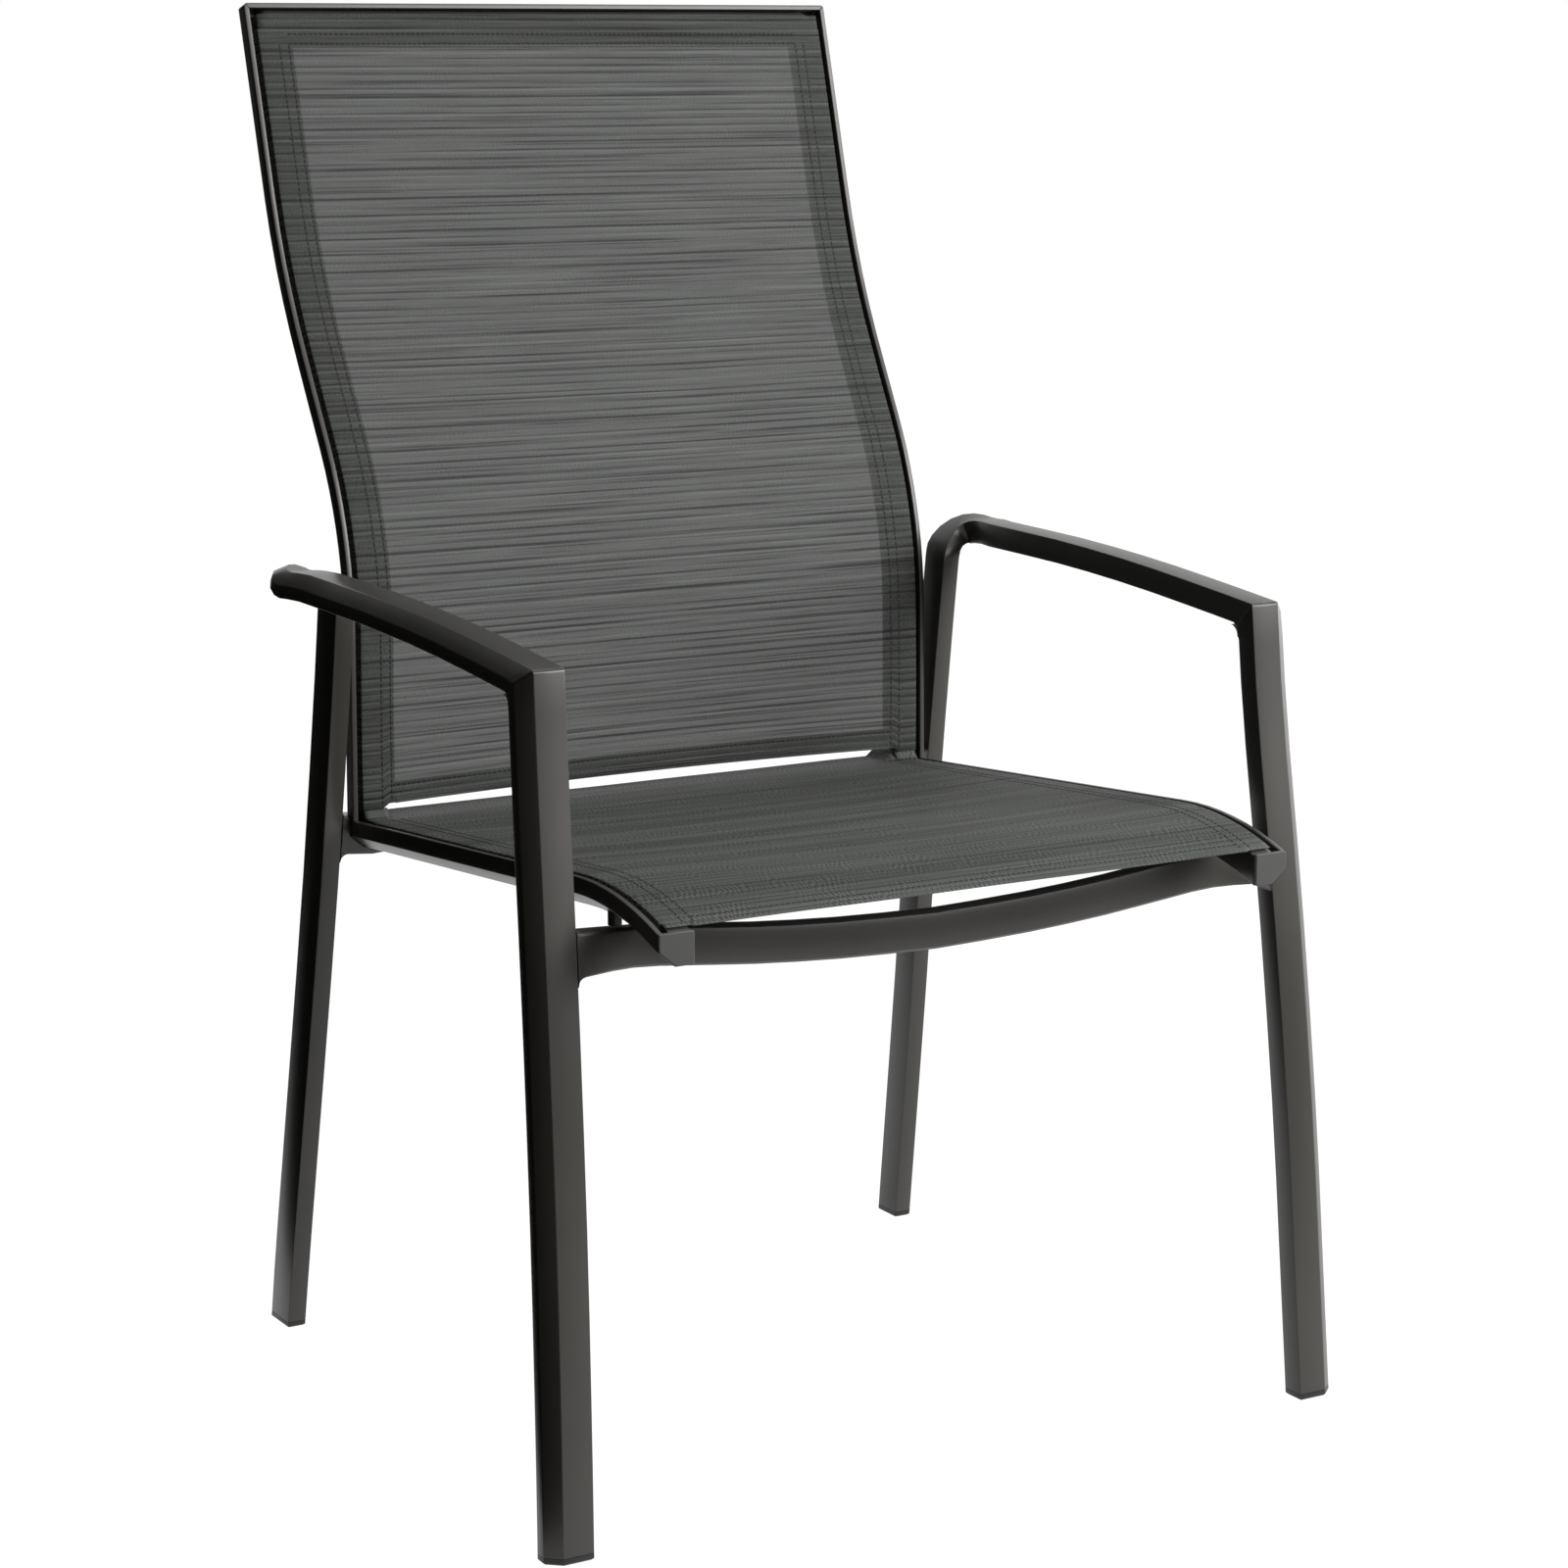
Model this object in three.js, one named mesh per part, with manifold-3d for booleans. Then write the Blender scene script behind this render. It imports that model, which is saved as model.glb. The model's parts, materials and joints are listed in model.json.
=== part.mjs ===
// A stacking sling armchair: bent aluminium tubes, grooved rails and two taut fabric panels.
// Millimetres. X runs across, the chair faces -Y and its feet stand on Z = 0.
import * as THREE from 'three';
import { mergeVertices } from 'three/addons/utils/BufferGeometryUtils.js';
import Module from 'manifold-3d';

const wasm = await Module();
wasm.setup();

// Clearance between pieces that touch
const seatGap = 0.3;

// Overall sizes, measured from the middle plane between the seat's front end and the back's top
const chairHeight = 1061.5;
const seatFront = 333;
const cornerBack = 163;
const cornerHeight = 432;

// Leg and armrest tube: a flat tube with one outer corner cut off
const tubeWidth = 35;
const tubeDepth = 19.5;
const tubeBevelRun = 11;
const tubeBevelDrop = 9.5;
const tubeWall = 1.8;
const tubeEdge = 1.2;

// Front leg and armrest, by the line of the tube's inner front corner
const armFrontHeight = 615.5;
const armFrontHalf = 290.6;
const armFront = 253.5;
const frontSplay = 17.1;
const frontLean = 63.1;
const armRun = 365.6;
const armRise = 20.9;
const armSpread = 3.3;
const armNoseRadius = 3;
const armFilletRadius = 8;
// From the arm's inner side in to the rails' outer sides
const railToArm = 25.8;
const railHalf = armFrontHalf - railToArm;
// Rows from the top down: splay, lean and drop
const frontLegShares = [
  [0, 0, 0], [0.085, 0.116, 0.123], [0.369, 0.453, 0.383],
  [0.636, 0.731, 0.643], [0.858, 0.908, 0.87], [1, 1, 1],
];
// Rows from the front back: spread, run and rise
const armrestShares = [[0, 0, 0], [0, 0.146, 0.249], [0.27, 0.42, 0.646], [0.727, 0.693, 0.89], [1, 1, 1]];

// Rear bend, where the tube turns inward and down at once and is squeezed flatter
const bendInset = 24.5;
const bendSetback = 30;
const bendDrop = 35.8;
const bendLift = 2;
const bendFlare = 17;
const bendReach = 72;
const bendTuck = 20.5;
const rearTubeDepth = 15.6;
const rearBevelRun = 6.5;
const bendEaseShare = 2.06;
const bendSteps = 12;

// Rear leg
const rearSplay = 15.4;
const rearLean = 94.8;
const rearLegShares = [
  [0, 0, 0], [0.028, 0.097, 0.101], [0.222, 0.357, 0.367],
  [0.562, 0.622, 0.634], [0.854, 0.865, 0.867], [1, 1, 1],
];

// Foot glides
const glideHeight = 5;
const glideBevel = 1.2;
const glidePlug = 12;

// Rail extrusion of the seat and the back, with a round channel behind an open mouth
const railWidth = 28;
const railDepth = 22.5;
const railSide = 12;
const railBevelRun = 13;
const railWall = 1.6;
const railEdge = 0.9;
const railLip = 4.2;
const mouthWidth = 5.7;
const landDrop = 1.2;
const landRound = 2;
const channelInset = 7;
const channelSink = 9;
const channelRadius = 4.1;
const topCornerRadius = 4;

// Bends of the rails, in degrees
const seatSlope = 4.32;
const seatRollRadius = 296;
const seatRollTurn = 24.2;
const backStraight = 135;
const lumbarRadius = 313;
const lumbarTurn = 29.7;
const shoulderRise = 74;
const shoulderRadius = 562;
const shoulderTurn = 13.9;
const degreesPerStep = 3.2;
const backWaist = 3;
const backFlare = 2.2;
const waistHeightShare = 0.41;
const waistReachShare = 0.37;

// Rail end caps
const capThickness = 3;
const capBevel = 0.8;
const capEdge = 1.6;
const capPlug = 10;

// Crossbars
const barHeight = 30.4;
const barWall = 2;
const barEdge = 2.2;
const barRound = 6;
const barFillet = 6.5;
const barTopFillet = 2.5;
const frontBarClear = 2.1;
const frontBarDrop = 17.7;
const frontBarThin = 5.5;
const rearBarHeight = 31.5;
const rearBarSlim = 13.5;
const rearBarRise = 3.5;
const rearBarDrop = 9;
const rearBarShift = 18;
const rearBarThin = 9.5;
const rearBarDepth = 23.5;
// Way out from the middle, and the rise of the bar there
const frontBarShares = [
  [0, 0], [0.23, 0.11], [0.46, 0.35], [0.68, 0.72], [0.79, 0.91], [0.88, 0.98], [1, 1],
];
const rearBarShares = [
  [0, 0], [0.4, 0.03], [0.7, 0.1], [0.8, 0.28], [0.88, 0.62], [0.95, 0.93], [1, 1],
];
const barStationShares = [0.14, 0.28, 0.4, 0.52, 0.62, 0.71, 0.79, 0.86, 0.92];
const filletStationShares = [1, 0.6, 0.3, 0.1, 0];
const barTaperShares = [0.84, 1];
const rearBarTaperShares = [0.74, 0.92];

// Rail spacers
const spacerRadius = 5;
const spacerInset = 5.5;

// Slings and their rods
const slingThickness = 1.2;
const slingInset = 8.6;
const hookThickness = 0.9;
const rodRadius = 2.5;
const rodShort = 12;
const hookLap = 3;
const seatSag = 4;
const seatSagReach = 130;
const seatFrontShort = 3.5;
const backSag = 3;
const backSagReach = 260;
const hemOverhang = 29;
const hemLift = 2;
const hemCutLength = 14;
const backHemRise = 10.5;
const backHemBow = 3;
const cornerShort = 14;

// How far a cutting tool reaches past what it cuts
const overrun = 2;

const across = new THREE.Vector3(1, 0, 0);
const back = new THREE.Vector3(0, 1, 0);
const up = new THREE.Vector3(0, 0, 1);
const down = up.clone().negate();
const vec = (x, y, z) => new THREE.Vector3(x, y, z);
const flat = (x, y) => new THREE.Vector2(x, y);

// Geometry from shared corner points, with its faces turned outward
function closedGeometry(points, faces) {
  let volume = 0;
  const area = new THREE.Vector3();
  for (const [a, b, c] of faces) volume += area.crossVectors(points[b], points[c]).dot(points[a]);
  const outward = volume < 0 ? faces.map(([a, b, c]) => [a, c, b]) : faces;
  const geometry = new THREE.BufferGeometry().setFromPoints(points);
  geometry.setIndex(outward.flat());
  geometry.computeVertexNormals();
  return geometry;
}

// Joins section outlines from station to station. A station has its place, the directions u and v of its
// section plane, its outline and, on a tube, the bore.
function loft(given) {
  const wound = (outline) => (
    outline && THREE.ShapeUtils.isClockWise(outline) ? outline.toReversed() : outline
  );
  const stations = given.map((station) => ({
    ...station, outline: wound(station.outline), bore: wound(station.bore),
  }));
  const points = [];
  const faces = [];
  const rings = {};
  for (const [key, inner] of [['outline', false], ['bore', true]]) {
    if (!stations[0][key]) continue;
    rings[key] = stations.map((station) => {
      const first = points.length;
      for (const p of station[key]) {
        points.push(station.at.clone().addScaledVector(station.u, p.x).addScaledVector(station.v, p.y));
      }
      return first;
    });
    const count = stations[0][key].length;
    for (let i = 0; i + 1 < stations.length; i += 1) {
      for (let j = 0; j < count; j += 1) {
        const k = (j + 1) % count;
        const [a, b] = [rings[key][i] + j, rings[key][i] + k];
        const [c, d] = [rings[key][i + 1] + k, rings[key][i + 1] + j];
        faces.push(...(inner ? [[a, c, b], [a, d, c]] : [[a, b, c], [a, c, d]]));
      }
    }
  }
  for (const last of [false, true]) {
    const i = last ? stations.length - 1 : 0;
    const { outline, bore } = stations[i];
    const corners = [...outline, ...(bore ?? [])];
    const index = corners.map((_, n) => (n < outline.length
      ? rings.outline[i] + n : rings.bore[i] + n - outline.length));
    for (const face of THREE.ShapeUtils.triangulateShape(outline, bore ? [bore] : [])) {
      const turned = THREE.ShapeUtils.area(face.map((n) => corners[n])) > 0 === last;
      const [a, b, c] = face.map((n) => index[n]);
      faces.push(turned ? [a, b, c] : [a, c, b]);
    }
  }
  return closedGeometry(points, faces);
}

// The same piece on the other side of the chair
function mirrored(geometry) {
  const copy = geometry.clone();
  copy.scale(-1, 1, 1);
  const order = copy.getIndex();
  for (let i = 0; i < order.count; i += 3) {
    const kept = order.getX(i + 1);
    order.setX(i + 1, order.getX(i + 2));
    order.setX(i + 2, kept);
  }
  copy.computeVertexNormals();
  return copy;
}

function toSolid(geometry) {
  const bare = geometry.clone();
  bare.deleteAttribute('normal');
  bare.deleteAttribute('uv');
  const merged = mergeVertices(bare);
  return new wasm.Manifold(new wasm.Mesh({
    numProp: 3,
    vertProperties: Float32Array.from(merged.attributes.position.array),
    triVerts: Uint32Array.from(merged.index.array),
  }));
}

function toGeometry(solid) {
  const { vertProperties, triVerts } = solid.getMesh();
  const geometry = new THREE.BufferGeometry();
  geometry.setAttribute('position', new THREE.BufferAttribute(vertProperties, 3));
  geometry.setIndex(new THREE.BufferAttribute(triVerts, 1));
  geometry.computeVertexNormals();
  return geometry;
}

const joined = (first, ...rest) => toGeometry(rest.reduce((sum, g) => sum.add(toSolid(g)), toSolid(first)));
const cut = (body, ...tools) => (
  toGeometry(tools.reduce((left, g) => left.subtract(toSolid(g)), toSolid(body)))
);

// Points of a round corner between two points that lie on its sides
function cornerArc(from, corner, to, steps) {
  return new THREE.QuadraticBezierCurve(from, corner, to).getPoints(steps);
}

// A closed outline whose corners, given as [x, y, radius], are rounded
function rounded(corners, steps = 2) {
  const outline = [];
  corners.forEach(([x, y, radius], i) => {
    const corner = flat(x, y);
    const sides = [corners.at(i - 1), corners[(i + 1) % corners.length]].map(([a, b]) => flat(a - x, b - y));
    if (!radius) {
      outline.push(corner);
      return;
    }
    const room = Math.min(...sides.map((side) => side.length())) / 2.2;
    sides.forEach((side) => side.normalize());
    const half = Math.acos(sides[0].dot(sides[1])) / 2;
    const reach = Math.min(radius / Math.tan(half), room);
    const [from, to] = sides.map((side) => corner.clone().addScaledVector(side, reach));
    outline.push(...cornerArc(from, corner, to, steps));
  });
  return outline;
}

// Corner points moved inward by a wall, or outward where the wall is negative
function inset(corners, wall) {
  return corners.map(([x, y, ...rest], i) => {
    const before = corners.at(i - 1);
    const after = corners[(i + 1) % corners.length];
    const a = flat(y - before[1], before[0] - x).normalize().negate();
    const b = flat(after[1] - y, x - after[0]).normalize().negate();
    const move = a.clone().add(b).multiplyScalar(wall / (1 + a.dot(b)));
    return [x + move.x, y + move.y, ...rest];
  });
}

// A smooth line between two ends whose rows of shares say how far it has gone along each axis
function bowed(from, to, shares) {
  const span = to.clone().sub(from);
  return new THREE.CatmullRomCurve3(shares.map((row) => vec(...row).multiply(span).add(from)));
}

// The point of a rising or falling curve where one of its coordinates has a given value
function pointWhere(curve, axis, value) {
  let [low, high] = [0, 1];
  const rising = curve.getPoint(1)[axis] > curve.getPoint(0)[axis];
  for (let i = 0; i < 40; i += 1) {
    const middle = (low + high) / 2;
    if (curve.getPoint(middle)[axis] < value === rising) low = middle; else high = middle;
  }
  return curve.getPoint(low);
}

// A straight prism across the chair from an outline in its side view
function prism(outline, fromX, toX) {
  return loft([fromX, toX].map((x) => ({ at: vec(x, 0, 0), u: back, v: up, outline })));
}

// Tube section: x runs outward or back, y inward from the face that the bevel is cut from. Past the rear
// bend the tube is flatter and its bevel narrower.
function tubeCorners(flattened = 0) {
  const depth = THREE.MathUtils.lerp(tubeDepth, rearTubeDepth, flattened);
  const run = THREE.MathUtils.lerp(tubeBevelRun, rearBevelRun, flattened);
  const drop = tubeBevelDrop * depth / tubeDepth;
  return [
    [0, 0, tubeEdge], [tubeWidth - run, 0, tubeEdge], [tubeWidth, drop, tubeEdge],
    [tubeWidth, depth, tubeEdge], [0, depth, tubeEdge],
  ];
}

function tubeStation(at, u, v, flattened) {
  const corners = tubeCorners(flattened);
  return {
    at, u, v, outline: rounded(corners), bore: inset(corners, tubeWall).map(([x, y]) => flat(x, y)),
  };
}

// The lines of the tube's inner front corner
const armStart = vec(armFrontHalf, -armFront, armFrontHeight);
const frontFoot = armStart.clone().add(vec(frontSplay, -frontLean, -armFrontHeight));
const frontLine = bowed(armStart, frontFoot, frontLegShares);
const armEnd = armStart.clone().add(vec(armSpread, armRun, armRise));
const armLine = bowed(armStart, armEnd, armrestShares);
const rearTop = armEnd.clone().add(vec(-bendInset, bendSetback, -bendDrop));
const rearFoot = vec(rearTop.x + rearSplay, rearTop.y + rearLean, 0);
const rearLine = bowed(rearTop, rearFoot, rearLegShares);

// Leg and armrest meet on a mitre at 45 degrees
const mitreSlant = back.clone().add(down);
const mitreShift = seatGap * Math.SQRT1_2;

// Cuts the front edge where leg and armrest meet round
function noseCutter() {
  const apex = flat(armStart.y, armStart.z);
  const along = armLine.getTangent(0);
  const fall = frontLine.getTangent(0);
  const from = apex.clone().add(flat(fall.y, fall.z).multiplyScalar(armNoseRadius));
  const to = apex.clone().add(flat(along.y, along.z).multiplyScalar(armNoseRadius));
  const outline = cornerArc(from, apex, to, 4);
  outline.push(
    flat(to.x, to.y + overrun), flat(apex.x - overrun, apex.y + overrun), flat(from.x - overrun, from.y),
  );
  return prism(outline, armStart.x - overrun, armStart.x + tubeWidth + overrun);
}

// The small web that rounds the inside corner under the armrest
function armFillet() {
  const along = armLine.getTangent(0);
  const fall = frontLine.getTangent(0);
  const apex = flat(armStart.y + tubeDepth, armStart.z - tubeDepth - seatGap);
  const from = apex.clone().add(flat(fall.y, fall.z).multiplyScalar(armFilletRadius));
  const to = apex.clone().add(flat(along.y, along.z).multiplyScalar(armFilletRadius));
  const outline = cornerArc(from, apex, to, 5);
  const sink = tubeWall / 2;
  outline.push(flat(apex.x - sink, apex.y), flat(from.x - sink, from.y));
  return prism(outline, armStart.x + tubeEdge, armStart.x + tubeWidth - tubeEdge);
}

function frontLeg() {
  const line = frontLine.getPoints(12).filter((p) => p.z < armStart.z - tubeDepth - armFilletRadius);
  const stations = [
    tubeStation(armStart.clone().addScaledVector(down, mitreShift), across, mitreSlant),
    ...line.filter((p) => p.z > glideHeight * 2).map((p) => tubeStation(p, across, back)),
    tubeStation(pointWhere(frontLine, 'z', glideHeight), across, back),
  ];
  return cut(joined(loft(stations), armFillet()), noseCutter());
}

// Directions of the tube's section as three axes of a turned frame
function turnOf(u, v) {
  const matrix = new THREE.Matrix4().makeBasis(u, v, new THREE.Vector3().crossVectors(u, v));
  return new THREE.Quaternion().setFromRotationMatrix(matrix);
}

// Armrest, rear bend and rear leg as one tube
function armTube() {
  const stations = [tubeStation(armStart.clone().addScaledVector(back, mitreShift), across, mitreSlant)];
  for (const p of armLine.getPoints(9).filter((q) => q.y > armStart.y + tubeDepth)) {
    stations.push(tubeStation(p, across, down));
  }
  const legWay = rearLine.getTangent(0);
  const legBack = vec(0, 1, -legWay.y / legWay.z).normalize();
  const path = new THREE.CubicBezierCurve3(
    armEnd, armEnd.clone().add(vec(bendFlare, bendReach, bendLift)),
    rearTop.clone().addScaledVector(legWay, -bendTuck), rearTop,
  );
  const [level, upright] = [turnOf(across, down), turnOf(legBack, across)];
  for (let i = 1; i <= bendSteps; i += 1) {
    const t = i / bendSteps;
    const eased = THREE.MathUtils.clamp(t + bendEaseShare * (THREE.MathUtils.smoothstep(t, 0, 1) - t), 0, 1);
    const turn = level.clone().slerp(upright, eased);
    const [u, v] = [across, back].map((axis) => axis.clone().applyQuaternion(turn));
    stations.push(tubeStation(path.getPoint(t), u, v, eased));
  }
  for (const p of rearLine.getPoints(10).slice(1).filter((q) => q.z > glideHeight * 4)) {
    stations.push(tubeStation(p, legBack, across, 1));
  }
  stations.push(tubeStation(pointWhere(rearLine, 'z', glideHeight), back, across, 1));
  return cut(loft(stations), noseCutter());
}

// A plug that closes a tube's foot: a plate of the tube's outline and a boss that fits its bore
function glide(line, u, v, flattened) {
  const corners = tubeCorners(flattened);
  const plug = inset(corners, tubeWall + seatGap);
  const step = (z, section) => ({ at: pointWhere(line, 'z', z), u, v, outline: rounded(section) });
  const floor = line.getPoint(1);
  const top = glideHeight - seatGap;
  return loft([
    { ...step(0, inset(corners, glideBevel)), at: vec(floor.x, floor.y, 0) },
    step(glideBevel, corners), step(top, corners), step(top, plug), step(glideHeight + glidePlug, plug),
  ]);
}

// Way along a rail in its side view: straight runs and bends, each stop with its heading in degrees
function bentPath(start, heading, moves) {
  const stops = [{ y: start.x, z: start.y, heading, run: 0 }];
  const advance = (length, turn) => {
    const last = stops.at(-1);
    const chord = turn ? length * Math.sin(turn / 2) / (turn / 2) : length;
    const way = THREE.MathUtils.degToRad(last.heading) + turn / 2;
    stops.push({
      y: last.y + chord * Math.cos(way), z: last.z + chord * Math.sin(way),
      heading: last.heading + THREE.MathUtils.radToDeg(turn), run: last.run + length,
    });
  };
  for (const { length, radius, turn } of moves) {
    const steps = turn ? Math.ceil(Math.abs(turn) / degreesPerStep) : 1;
    const part = THREE.MathUtils.degToRad(turn ?? 0) / steps;
    for (let i = 0; i < steps; i += 1) advance(turn ? radius * Math.abs(part) : length, part);
  }
  return stops;
}

// The part of a path between two runs
function stretch(stops, from, to) {
  const at = (run) => {
    const i = Math.max(1, stops.findIndex((stop) => stop.run >= run));
    const [a, b] = [stops[i - 1], stops[i]];
    const t = (run - a.run) / (b.run - a.run);
    const mix = (key) => THREE.MathUtils.lerp(a[key], b[key], t);
    return { y: mix('y'), z: mix('z'), heading: mix('heading'), run };
  };
  return [at(from), ...stops.filter(({ run }) => run > from + overrun && run < to - overrun), at(to)];
}

// Seat rail: straight and rising forward, then rolled down at the front
const corner = flat(cornerBack, cornerHeight);
const slope = THREE.MathUtils.degToRad(seatSlope);
const nose = THREE.MathUtils.degToRad(seatRollTurn - seatSlope);
const rollRun = seatRollRadius * (Math.sin(nose) + Math.sin(slope));
const seatStraight = (seatFront + cornerBack - rollRun) / Math.cos(slope);
const seatPath = bentPath(corner, 180 - seatSlope, [
  { length: seatStraight }, { radius: seatRollRadius, turn: seatRollTurn },
]);

// Back rail: upright, bent back over the lumbar curve, then eased forward and straight to the top
const backBends = [
  { length: backStraight }, { radius: lumbarRadius, turn: -lumbarTurn },
  { length: shoulderRise }, { radius: shoulderRadius, turn: shoulderTurn },
];
const bent = bentPath(corner, 90, backBends).at(-1);
const backPath = bentPath(corner, 90, [
  ...backBends, { length: (chairHeight - bent.z) / Math.sin(THREE.MathUtils.degToRad(bent.heading)) },
]);

// Outer face of the rails at a height: the back is slightly waisted
function railX(z) {
  const share = Math.max(0, (z - cornerHeight) / (chairHeight - cornerHeight));
  const off = Math.min(1, Math.abs(share - waistHeightShare) / waistReachShare);
  return railHalf - backWaist * Math.cos(off * Math.PI / 2) ** 2 + backFlare * share;
}

// Directions of a rail's section at a stop: u goes inward on the left side, v into the rail's depth
const side = { seat: 1, back: -1 };
function railFrame(stop, turn) {
  const way = THREE.MathUtils.degToRad(stop.heading);
  const x = turn === side.back ? railX(stop.z) : railHalf;
  return {
    at: vec(x, stop.y, stop.z), along: vec(0, Math.cos(way), Math.sin(way)),
    u: across.clone().negate(), v: vec(0, -turn * Math.sin(way), turn * Math.cos(way)),
  };
}

function channelArc(steps) {
  const left = Math.asin((channelInset - railLip) / channelRadius);
  const right = Math.asin((railLip + mouthWidth - channelInset) / channelRadius);
  const sweep = 2 * Math.PI - left - right;
  const arc = [];
  for (let i = 0; i <= steps; i += 1) {
    const turn = left + sweep * i / steps;
    arc.push([
      channelInset - channelRadius * Math.sin(turn), channelSink - channelRadius * Math.cos(turn), 0,
    ]);
  }
  return arc;
}

const railHull = [
  [0, 0, railEdge], [railWidth, 0, landRound], [railWidth, railDepth, railEdge],
  [railBevelRun, railDepth, railEdge], [0, railSide, railEdge],
];

// Rail section: x runs inward from the outer side, y down from the lip
const railOutline = rounded([
  railHull[0], [railLip, 0, railEdge / 2], ...channelArc(10),
  [railLip + mouthWidth, landDrop, railEdge / 2], [railWidth, landDrop, landRound], ...railHull.slice(2),
]);

// The chamber beside and under the channel
const chamberStart = channelInset + channelRadius + railWall;
const chamberFloor = railDepth - railWall;
const chamberCorners = [
  [chamberStart, landDrop + railWall], [railWidth - railWall, landDrop + railWall],
  [railWidth - railWall, chamberFloor], [railBevelRun + railWall / 2, chamberFloor],
  [channelInset + railWall, channelSink + channelRadius + railWall * 2],
  [channelInset + railWall, channelSink + channelRadius + railWall / 2],
  [chamberStart, channelSink + channelRadius],
];
const chamber = chamberCorners.map(([x, y]) => flat(x, y));

const railStation = (frame) => ({ ...frame, outline: railOutline, bore: chamber });

// Section direction on a mitre between two rails, from their two inward directions
const mitreOf = (a, b) => a.clone().add(b).divideScalar(1 + a.dot(b));

const cornerFrames = [railFrame(seatPath[0], side.seat), railFrame(backPath[0], side.back)];
const cornerSlant = mitreOf(cornerFrames[0].v, cornerFrames[1].v);

function seatRailStations(station) {
  const frames = seatPath.map((stop) => railFrame(stop, side.seat));
  frames[0].at.addScaledVector(frames[0].along, seatGap / 2 * Math.SQRT2);
  frames[0].v = cornerSlant;
  frames.at(-1).v = down.clone().divideScalar(Math.cos(nose));
  return frames.map(station);
}

function backRailStations(station) {
  const frames = backPath.map((stop) => railFrame(stop, side.back));
  frames[0].at.addScaledVector(frames[0].along, seatGap / 2 * Math.SQRT2);
  frames[0].v = cornerSlant;
  const top = frames.at(-1);
  top.at.addScaledVector(top.along, -seatGap * Math.SQRT1_2);
  top.u = top.u.clone().sub(top.along);
  return frames.map(station);
}

// Rounds the outer top corner of the back on the left side
function topCornerCutter() {
  const { at, along, v } = railFrame(backPath.at(-1), side.back);
  const outline = cornerArc(flat(-topCornerRadius, 0), flat(0, 0), flat(0, -topCornerRadius), 4);
  outline.push(flat(overrun, -topCornerRadius), flat(overrun, overrun), flat(-topCornerRadius, overrun));
  const place = (depth) => ({ at: at.clone().addScaledVector(v, depth), u: across, v: along, outline });
  return loft([place(-overrun), place(railDepth + overrun)]);
}

function topRail() {
  const { at, along, v } = railFrame(backPath.at(-1), side.back);
  const half = at.x - seatGap * Math.SQRT1_2;
  const ends = [-1, 1].map((way) => railStation({
    at: vec(way * half, at.y, at.z), u: across.clone().multiplyScalar(-way).sub(along), v,
  }));
  const cutter = topCornerCutter();
  return cut(loft(ends), cutter, mirrored(cutter));
}

// The rails drawn slightly larger, to cut what is fitted round them
const railHullGrown = rounded(inset(railHull, -seatGap));
const grown = (frame) => ({ ...frame, outline: railHullGrown });
const seatRailGrown = loft(seatRailStations(grown));
const backRailGrown = loft(backRailStations(grown));

// A five-sided plug in the front end of a seat rail
function railCap() {
  const frame = railFrame(seatPath.at(-1), side.seat);
  frame.v = down.clone().divideScalar(Math.cos(nose));
  const hull = railHull.map(([x, y]) => [x, y, capEdge]);
  const plug = [
    [chamberStart, landDrop + railWall, capEdge], [railWidth - railWall, landDrop + railWall, capEdge],
    [railWidth - railWall, chamberFloor, capEdge], [railBevelRun + railWall, chamberFloor, capEdge],
    [chamberStart, channelSink + channelRadius, capEdge],
  ];
  const fitted = inset(plug, seatGap * 2);
  const step = (ahead, section) => ({
    ...frame, at: frame.at.clone().addScaledVector(back, -ahead), outline: rounded(section),
  });
  const inside = railFrame(stretch(seatPath, 0, seatPath.at(-1).run - capPlug).at(-1), side.seat);
  return loft([
    step(capThickness, inset(hull, capBevel)), step(capThickness - capBevel, hull), step(seatGap, hull),
    step(seatGap, fitted), { ...inside, outline: rounded(fitted) },
  ]);
}

// An oval tube between two legs that is lower in the middle and spreads where it meets them. Its height is
// tall at the legs and slim less in the middle, its depth is thin less there, and middleY is its front there.
function crossbar({ line, height, tall, slim, depth, thin, middleY, drop, shares, taperShares }) {
  const foot = pointWhere(line, 'z', height);
  const below = pointWhere(line, 'z', height - tall);
  const lean = foot.clone().sub(below).divideScalar(foot.z - below.z);
  const end = foot.x - seatGap;
  const rise = new THREE.CatmullRomCurve3(shares.map(([x, z]) => vec(x, 0, z)));
  const station = (x, fillet) => {
    const out = Math.abs(x) / end;
    const taper = 1 - THREE.MathUtils.smoothstep(out, ...taperShares);
    const flare = (radius) => radius - Math.sqrt(radius ** 2 - (radius * fillet) ** 2);
    const width = depth - thin * taper;
    const reach = (tall - slim * taper) / 2;
    const [low, high] = [-reach - flare(barFillet), reach + flare(barTopFillet)];
    const round = THREE.MathUtils.lerp(barEdge, barRound, taper);
    const section = (r) => [[0, low, r], [width, low, r], [width, high, r], [0, high, r]];
    const z = height - drop * (1 - pointWhere(rise, 'x', out).z);
    const v = up.clone().lerp(vec(lean.x * Math.sign(x), lean.y, 1), 1 - taper);
    const y = THREE.MathUtils.lerp(foot.y, middleY, taper);
    return {
      at: vec(x, y, z), u: back, v, outline: rounded(section(round), 3),
      bore: inset(section(0), barWall).map(([a, b]) => flat(a, b)),
    };
  };
  const half = [
    ...barStationShares.map((share) => [share * (end - barFillet), 0]),
    ...filletStationShares.map((share) => [end - share * barFillet, 1 - share]),
  ];
  return loft([
    ...half.toReversed().map(([x, fillet]) => station(-x, fillet)), station(0, 0),
    ...half.map(([x, fillet]) => station(x, fillet)),
  ]);
}

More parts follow.
